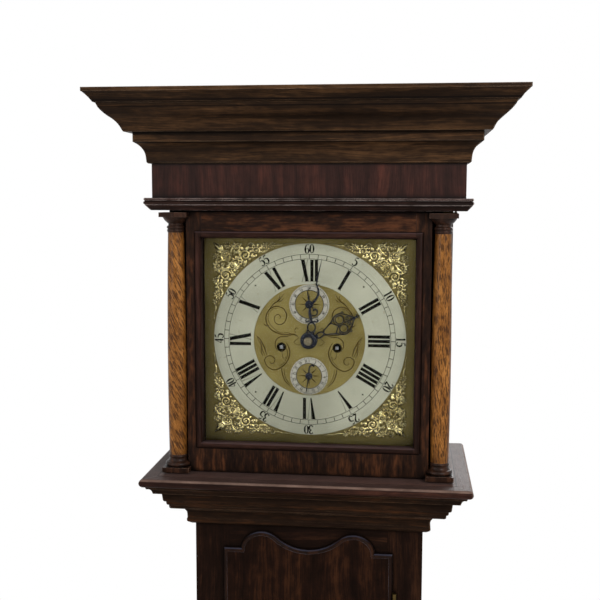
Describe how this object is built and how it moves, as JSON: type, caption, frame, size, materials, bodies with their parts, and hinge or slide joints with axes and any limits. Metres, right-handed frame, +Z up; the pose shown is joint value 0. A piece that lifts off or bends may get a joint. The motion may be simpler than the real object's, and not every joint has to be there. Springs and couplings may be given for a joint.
{
  "type": "longcase clock",
  "caption": "Tall dark wood clock with flat-topped hood, square brass dial behind a glazed door with columns, narrow trunk with a long shaped door, and a box base.",
  "frame": {"origin": "on the floor, under the middle of the overall box", "axes": "+Z up, -Y out of the dial towards the viewer, +X to the viewer's right"},
  "size_m": [0.5762, 0.294, 2],
  "materials": {
    "case_wood": "oiled carcase oak",
    "dark_wood": "dark stained and polished, with old wax",
    "veneer": "crosswise mahogany veneer, polished",
    "column_oak": "golden oak with short dark flecks",
    "door_glass": "thin clear pane",
    "dial_brass": "matted and engraved brass",
    "gilt_brass": "bright cast brass",
    "silvered_brass": "silvered brass, lacquered",
    "cast_brass": "plain clock brass",
    "steel": "bare steel, lightly aged",
    "blued_steel": "very dark blued steel",
    "gut_line": "gut line"
  },
  "bodies": {
    "case": {"backboard": "case_wood", "trunk_sides": "case_wood", "trunk_front_frame": "dark_wood", "throat_moulding": "dark_wood", "base_boards": "case_wood", "base_moulding": "dark_wood", "plinth_skirting": "dark_wood", "trunk_hinges_fixed": "cast_brass", "seatboard": "case_wood", "dial_plate": "dial_brass", "chapter_ring": "silvered_brass", "dial_spandrels": "gilt_brass", "subsidiary_rings": "silvered_brass", "movement_plates": "cast_brass", "movement_pillars": "cast_brass", "bell": "cast_brass", "going_line": "gut_line", "strike_line": "gut_line", "line_leads": "gut_line"},
    "hood": {"hood_sides": "case_wood", "hood_top_board": "case_wood", "hood_frieze": "veneer", "hood_cornice": "dark_wood", "frieze_moulding": "dark_wood", "hood_base_frame": "dark_wood", "dial_mask": "dark_wood"},
    "hood_door": {"hood_door_frame": "dark_wood", "hood_door_glass": "door_glass", "hood_columns": "column_oak", "column_caps_and_bases": "dark_wood", "hood_door_pivots": "cast_brass"},
    "trunk_door": {"trunk_door_board": "dark_wood", "trunk_door_hinges": "cast_brass", "trunk_door_lock": "steel", "trunk_door_escutcheon": "cast_brass"},
    "minute": {"minute_hand": "blued_steel", "cannon_wheel": "cast_brass", "centre_wheel": "cast_brass"},
    "hour": {"hour_hand": "blued_steel", "hour_wheel": "cast_brass"},
    "minute_wheel": {"minute_wheel": "cast_brass"},
    "third_wheel": {"third_wheel": "cast_brass"},
    "seconds": {"seconds_hand": "blued_steel", "escape_wheel": "cast_brass"},
    "going_great_wheel": {"going_great_wheel": "cast_brass"},
    "going_barrel": {"going_barrel": "cast_brass"},
    "going_weight": {"going_weight": "cast_brass"},
    "date": {"date_hand": "blued_steel", "date_wheel": "cast_brass"},
    "pendulum": {"pendulum_rod": "steel", "pendulum_bob": "cast_brass"},
    "pallets": {"pallets": "steel"},
    "strike_great_wheel": {"strike_great_wheel": "cast_brass"},
    "strike_barrel": {"strike_barrel": "cast_brass"},
    "strike_weight": {"strike_weight": "cast_brass"},
    "pin_wheel": {"pin_wheel": "cast_brass"},
    "gathering_wheel": {"gathering_wheel": "cast_brass"},
    "warning_wheel": {"warning_wheel": "cast_brass"},
    "fly": {"fly": "cast_brass"},
    "hammer": {"hammer": "steel"}
  },
  "joints": [
    {"name": "hood_slide", "type": "slide", "parent": "case", "child": "hood", "axis": [0, -1, 0], "range_m": [0, 0.3]},
    {"name": "hood_door_swing", "type": "hinge", "parent": "hood", "child": "hood_door", "pos_m": [0.2025, -0.0435, 1.653], "axis": [0, 0, 1], "range_deg": [0, 100]},
    {"name": "trunk_door_swing", "type": "hinge", "parent": "case", "child": "trunk_door", "pos_m": [0.1258, -0.0455, 0.96], "axis": [0, 0, 1], "range_deg": [0, 110]},
    {"name": "minute_turn", "type": "hinge", "parent": "case", "child": "minute", "pos_m": [0, 0, 1.656], "axis": [0, 1, 0], "continuous": true},
    {"name": "hour_turn", "type": "hinge", "parent": "case", "child": "hour", "pos_m": [0, -0.02, 1.656], "axis": [0, 1, 0], "continuous": true},
    {"name": "minute_wheel_turn", "type": "hinge", "parent": "case", "child": "minute_wheel", "pos_m": [0, 0, 1.626], "axis": [0, 1, 0], "continuous": true},
    {"name": "going_great_turn", "type": "hinge", "parent": "case", "child": "going_great_wheel", "pos_m": [0.04, 0.055, 1.645], "axis": [0, 1, 0], "continuous": true},
    {"name": "third_turn", "type": "hinge", "parent": "case", "child": "third_wheel", "pos_m": [0.0132, 0.04, 1.6836], "axis": [0, 1, 0], "continuous": true},
    {"name": "seconds_turn", "type": "hinge", "parent": "case", "child": "seconds", "pos_m": [0, 0.04, 1.707], "axis": [0, 1, 0], "continuous": true},
    {"name": "date_turn", "type": "hinge", "parent": "case", "child": "date", "pos_m": [0, -0.028, 1.604], "axis": [0, 1, 0], "continuous": true},
    {"name": "pendulum_swing", "type": "hinge", "parent": "case", "child": "pendulum", "pos_m": [0, 0.1, 1.735], "axis": [0, 1, 0], "range_deg": [-3, 3]},
    {"name": "pallets_rock", "type": "hinge", "parent": "case", "child": "pallets", "pos_m": [0, 0.06, 1.735], "axis": [0, 1, 0], "range_deg": [-3, 3]},
    {"name": "going_weight_rise", "type": "slide", "parent": "case", "child": "going_weight", "axis": [0, 0, 1], "range_m": [0, 1.05], "deforming": ["going_line"]},
    {"name": "going_wind", "type": "hinge", "parent": "going_great_wheel", "child": "going_barrel", "pos_m": [0.04, 0.035, 1.645], "axis": [0, 1, 0], "range_deg": [0, 4680]},
    {"name": "gathering_turn", "type": "hinge", "parent": "case", "child": "gathering_wheel", "pos_m": [-0.02, 0.04, 1.7032], "axis": [0, 1, 0], "continuous": true},
    {"name": "pin_wheel_turn", "type": "hinge", "parent": "case", "child": "pin_wheel", "pos_m": [-0.034, 0.06, 1.6822], "axis": [0, 1, 0], "continuous": true},
    {"name": "strike_great_turn", "type": "hinge", "parent": "case", "child": "strike_great_wheel", "pos_m": [-0.04, 0.055, 1.645], "axis": [0, 1, 0], "continuous": true},
    {"name": "warning_turn", "type": "hinge", "parent": "case", "child": "warning_wheel", "pos_m": [-0.034, 0.035, 1.717], "axis": [0, 1, 0], "continuous": true},
    {"name": "fly_turn", "type": "hinge", "parent": "case", "child": "fly", "pos_m": [-0.022, 0.025, 1.728], "axis": [0, 1, 0], "continuous": true},
    {"name": "strike_weight_rise", "type": "slide", "parent": "case", "child": "strike_weight", "axis": [0, 0, 1], "range_m": [0, 1.05], "deforming": ["strike_line"]},
    {"name": "strike_wind", "type": "hinge", "parent": "strike_great_wheel", "child": "strike_barrel", "pos_m": [-0.04, 0.035, 1.645], "axis": [0, 1, 0], "range_deg": [0, 4680]},
    {"name": "hammer_lift", "type": "hinge", "parent": "case", "child": "hammer", "pos_m": [-0.066, 0.045, 1.69], "axis": [0, -1, 0], "range_deg": [0, 14], "stiffness_Nm_per_rad": 0.06, "springref_deg": -17.19}
  ],
  "couplings": [
    {"joint": "hour_turn", "follows": "minute_turn", "ratio": 0.083333},
    {"joint": "minute_wheel_turn", "follows": "minute_turn", "ratio": -1},
    {"joint": "third_turn", "follows": "minute_turn", "ratio": -7.5},
    {"joint": "seconds_turn", "follows": "minute_turn", "ratio": 60},
    {"joint": "going_great_turn", "follows": "minute_turn", "ratio": -0.083333},
    {"joint": "pallets_rock", "follows": "pendulum_swing", "ratio": 1},
    {"joint": "going_wind", "follows": "going_weight_rise", "rad_per_m": 77.67},
    {"joint": "pin_wheel_turn", "follows": "gathering_turn", "ratio": -0.125},
    {"joint": "strike_great_turn", "follows": "gathering_turn", "ratio": 0.012821},
    {"joint": "warning_turn", "follows": "gathering_turn", "ratio": -7},
    {"joint": "fly_turn", "follows": "gathering_turn", "ratio": 56},
    {"joint": "strike_wind", "follows": "strike_weight_rise", "rad_per_m": 77.67}
  ]
}
